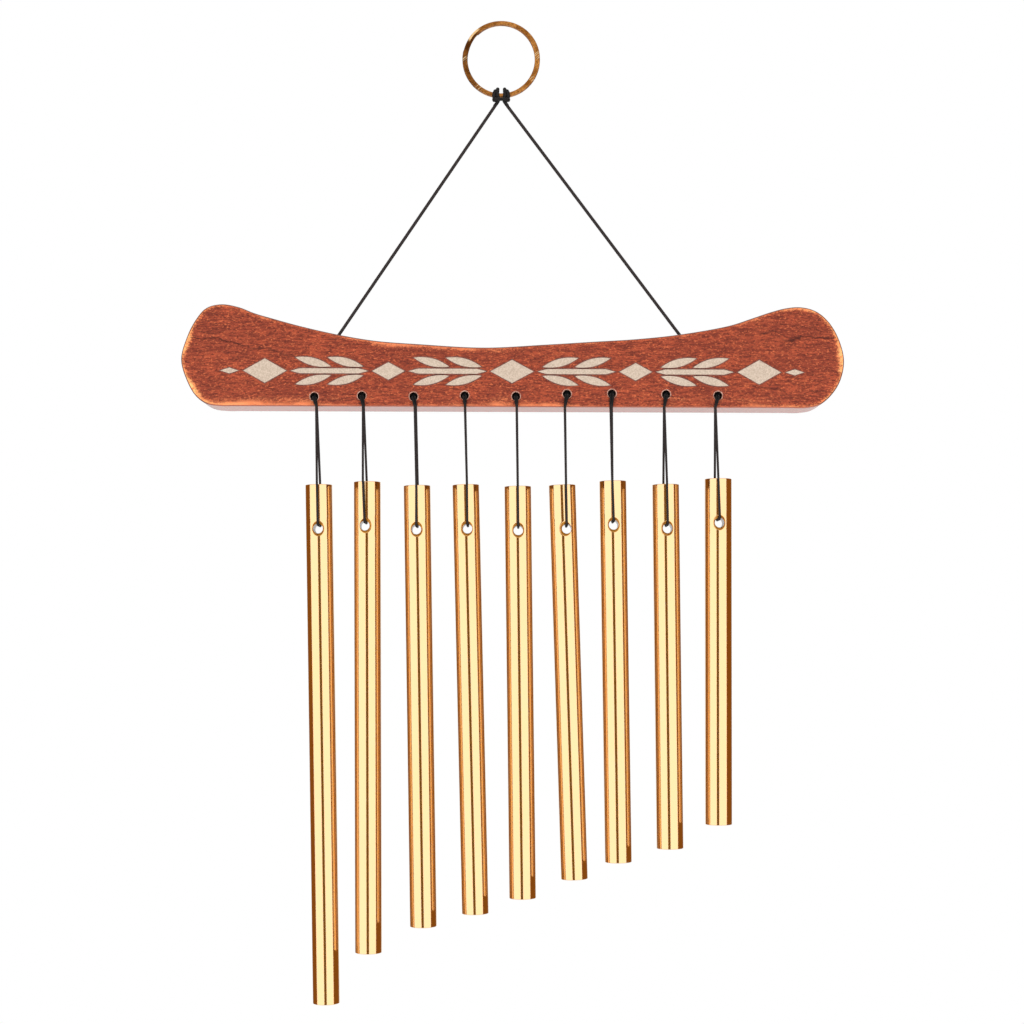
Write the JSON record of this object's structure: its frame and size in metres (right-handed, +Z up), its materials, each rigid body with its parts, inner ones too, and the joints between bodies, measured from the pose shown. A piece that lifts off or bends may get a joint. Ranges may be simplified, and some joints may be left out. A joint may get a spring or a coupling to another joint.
{
  "type": "hand chime",
  "caption": "Hand-held chime: solid gold-anodised rods on cord loops under a shaped wooden bar, which hangs by a V of cord from a split ring.",
  "frame": {"origin": "top of the split ring's inside, where the hook touches it", "axes": "+X to the right as seen from the front (from the longest rod to the shortest), -Y to the front, +Z up"},
  "size_m": [0.2468, 0.0246, 0.3664],
  "materials": {
    "ring_gold": "brass-plated spring steel, polished",
    "cord": "fine braided black cord",
    "wood": "red-brown stain over fine grain, worn paler along the edges, satin",
    "rod_gold": "gold anodised, bright; bare metal in the cross bore"
  },
  "bodies": {
    "ring": {"split_ring": "ring_gold"},
    "hitch": {"ring_hitch": "cord"},
    "hanger": {"hanger_cord_left": "cord", "hanger_cord_right": "cord"},
    "bar": {"bar": "wood", "hanger_end_left": "cord", "hanger_end_right": "cord", "loop_top_1": "cord", "loop_top_2": "cord", "loop_top_3": "cord", "loop_top_4": "cord", "loop_top_5": "cord", "loop_top_6": "cord", "loop_top_7": "cord", "loop_top_8": "cord", "loop_top_9": "cord"},
    "loop_1": {"loop_1": "cord"},
    "chime_1": {"rod_1": "rod_gold"},
    "loop_2": {"loop_2": "cord"},
    "chime_2": {"rod_2": "rod_gold"},
    "loop_3": {"loop_3": "cord"},
    "chime_3": {"rod_3": "rod_gold"},
    "loop_4": {"loop_4": "cord"},
    "chime_4": {"rod_4": "rod_gold"},
    "loop_5": {"loop_5": "cord"},
    "chime_5": {"rod_5": "rod_gold"},
    "loop_6": {"loop_6": "cord"},
    "chime_6": {"rod_6": "rod_gold"},
    "loop_7": {"loop_7": "cord"},
    "chime_7": {"rod_7": "rod_gold"},
    "loop_8": {"loop_8": "cord"},
    "chime_8": {"rod_8": "rod_gold"},
    "loop_9": {"loop_9": "cord"},
    "chime_9": {"rod_9": "rod_gold"}
  },
  "joints": [
    {"name": "hitch_slide", "type": "hinge", "parent": "ring", "child": "hitch", "pos_m": [0, 0, -0.0124], "axis": [0, -1, 0], "range_deg": [-25, 25]},
    {"name": "hanger_swing", "type": "hinge", "parent": "hitch", "child": "hanger", "pos_m": [0, 0, -0.03025], "axis": [1, 0, 0], "range_deg": [-40, 40]},
    {"name": "bar_rock", "type": "hinge", "parent": "hanger", "child": "bar", "pos_m": [0.004, 0, -0.1158], "axis": [1, 0, 0], "range_deg": [-35, 35]},
    {"name": "swing_1", "type": "hinge", "parent": "bar", "child": "loop_1", "pos_m": [-0.0686, -0.00313, -0.14255], "axis": [1, 0, 0], "range_deg": [-45, 45]},
    {"name": "sway_1", "type": "hinge", "parent": "loop_1", "child": "chime_1", "pos_m": [-0.0675, -0.00313, -0.18713], "axis": [0, -1, 0], "range_deg": [-20, 2]},
    {"name": "swing_2", "type": "hinge", "parent": "bar", "child": "loop_2", "pos_m": [-0.0512, -0.00313, -0.14261], "axis": [1, 0, 0], "range_deg": [-45, 45]},
    {"name": "sway_2", "type": "hinge", "parent": "loop_2", "child": "chime_2", "pos_m": [-0.0497, -0.00313, -0.18573], "axis": [0, -1, 0], "range_deg": [-2, 3.8]},
    {"name": "swing_3", "type": "hinge", "parent": "bar", "child": "loop_3", "pos_m": [-0.0319, -0.00313, -0.14267], "axis": [1, 0, 0], "range_deg": [-45, 45]},
    {"name": "sway_3", "type": "hinge", "parent": "loop_3", "child": "chime_3", "pos_m": [-0.03102, -0.00313, -0.18743], "axis": [0, -1, 0], "range_deg": [-3.9, 3.6]},
    {"name": "swing_4", "type": "hinge", "parent": "bar", "child": "loop_4", "pos_m": [-0.0134, -0.00313, -0.14274], "axis": [1, 0, 0], "range_deg": [-45, 45]},
    {"name": "sway_4", "type": "hinge", "parent": "loop_4", "child": "chime_4", "pos_m": [-0.01278, -0.00313, -0.18713], "axis": [0, -1, 0], "range_deg": [-3.6, 3]},
    {"name": "swing_5", "type": "hinge", "parent": "bar", "child": "loop_5", "pos_m": [0.0058, -0.00313, -0.14281], "axis": [1, 0, 0], "range_deg": [-45, 45]},
    {"name": "sway_5", "type": "hinge", "parent": "loop_5", "child": "chime_5", "pos_m": [0.00637, -0.00313, -0.18773], "axis": [0, -1, 0], "range_deg": [-3, 3.9]},
    {"name": "swing_6", "type": "hinge", "parent": "bar", "child": "loop_6", "pos_m": [0.0237, -0.00313, -0.14287], "axis": [1, 0, 0], "range_deg": [-45, 45]},
    {"name": "sway_6", "type": "hinge", "parent": "loop_6", "child": "chime_6", "pos_m": [0.02318, -0.00313, -0.18723], "axis": [0, -1, 0], "range_deg": [-3.9, 2.8]},
    {"name": "swing_7", "type": "hinge", "parent": "bar", "child": "loop_7", "pos_m": [0.0409, -0.00313, -0.14293], "axis": [1, 0, 0], "range_deg": [-45, 45]},
    {"name": "sway_7", "type": "hinge", "parent": "loop_7", "child": "chime_7", "pos_m": [0.04171, -0.00313, -0.18573], "axis": [0, -1, 0], "range_deg": [-2.8, 4.2]},
    {"name": "swing_8", "type": "hinge", "parent": "bar", "child": "loop_8", "pos_m": [0.0606, -0.00313, -0.143], "axis": [1, 0, 0], "range_deg": [-45, 45]},
    {"name": "sway_8", "type": "hinge", "parent": "loop_8", "child": "chime_8", "pos_m": [0.06131, -0.00313, -0.18703], "axis": [0, -1, 0], "range_deg": [-4.3, 4]},
    {"name": "swing_9", "type": "hinge", "parent": "bar", "child": "loop_9", "pos_m": [0.0796, -0.00313, -0.14306], "axis": [1, 0, 0], "range_deg": [-45, 45]},
    {"name": "sway_9", "type": "hinge", "parent": "loop_9", "child": "chime_9", "pos_m": [0.08066, -0.00313, -0.18493], "axis": [0, -1, 0], "range_deg": [-4, 20]}
  ]
}
